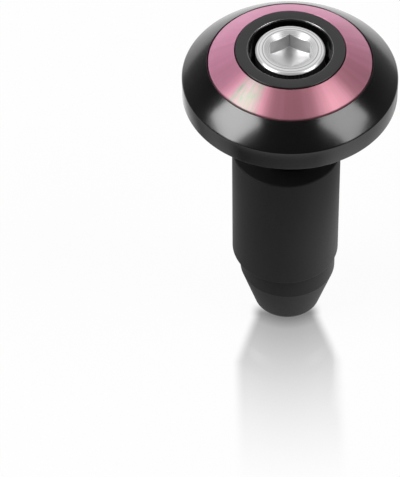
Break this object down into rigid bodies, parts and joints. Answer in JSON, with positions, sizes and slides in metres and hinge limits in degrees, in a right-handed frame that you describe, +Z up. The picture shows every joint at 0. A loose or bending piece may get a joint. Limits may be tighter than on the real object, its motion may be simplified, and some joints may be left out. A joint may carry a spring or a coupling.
{
  "type": "bar end weight",
  "caption": "Turned black bar end weight with a coloured ring, held in a handlebar by a cap screw that draws a tapered nut into a rubber sleeve.",
  "frame": {"origin": "centre of the flat end of the nose, on which the part stands", "axes": "+Z up along the screw, from the nose to the weight; the sleeve hangs a little towards -X"},
  "size_m": [0.033, 0.033, 0.0561],
  "materials": {
    "black_anodised": "satin black anodised, turned",
    "pink_anodised": "bright pink anodised, turned",
    "stainless": "bright stainless",
    "rubber": "matt black",
    "dark_metal": "satin grey black anodised"
  },
  "bodies": {
    "root": {"end_cap": "black_anodised", "accent_ring": "pink_anodised", "cap_screw": "stainless", "rubber_sleeve": "rubber", "nose_nut": "dark_metal"}
  },
  "joints": []
}
